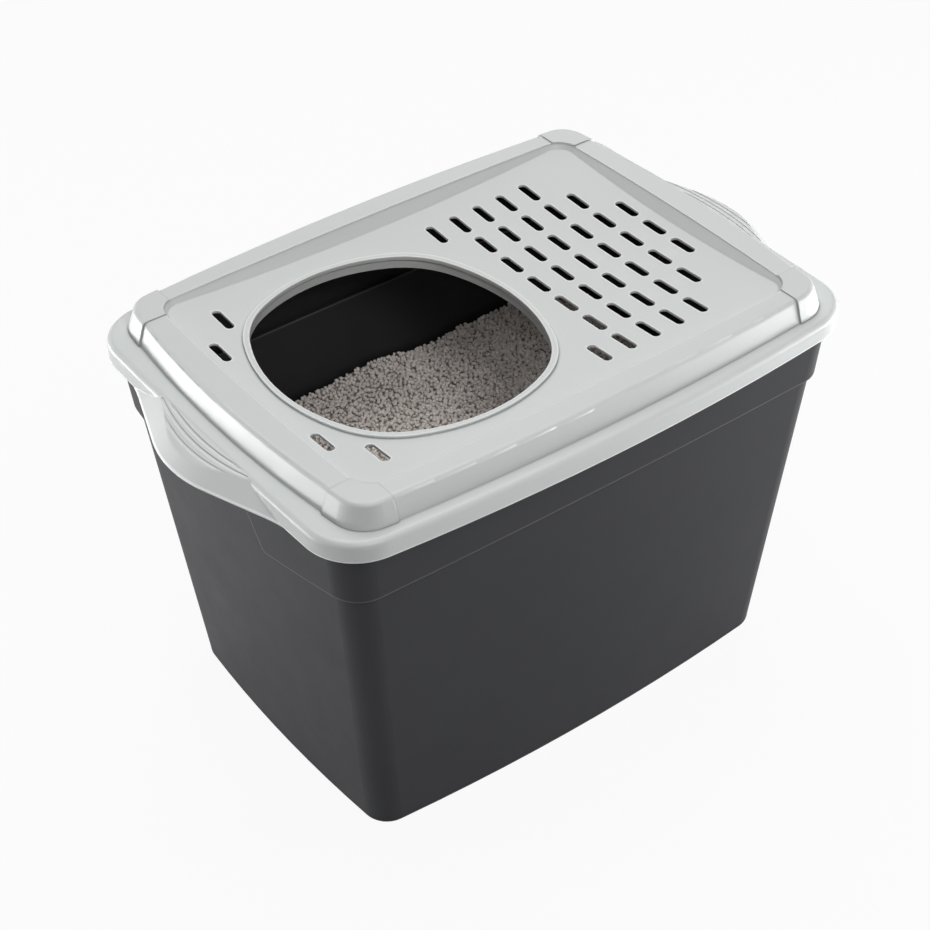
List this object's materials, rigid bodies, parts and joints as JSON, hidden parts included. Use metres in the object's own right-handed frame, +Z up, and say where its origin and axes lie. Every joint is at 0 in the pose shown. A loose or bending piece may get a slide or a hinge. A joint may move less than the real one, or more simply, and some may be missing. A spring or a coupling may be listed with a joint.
{
  "type": "top entry litter box",
  "caption": "Rectangular litter tub with a lift-off dished lid: round top entry, litter-shedding slots and a grip handle at each end.",
  "frame": {"origin": "middle of the tub's underside, on the floor", "axes": "+X along the box from the end with the entry opening to the end with most slots, +Y across it, +Z up"},
  "size_m": [0.585, 0.3932, 0.38],
  "materials": {
    "tub_plastic": "satin",
    "lid_plastic": "satin",
    "litter": "matte"
  },
  "bodies": {
    "box": {"tub": "tub_plastic", "litter_bed": "litter"},
    "lid": {"lid": "lid_plastic"}
  },
  "joints": [
    {"name": "lid_lift", "type": "slide", "parent": "box", "child": "lid", "axis": [0, 0, 1], "range_m": [0, 0.15]}
  ]
}
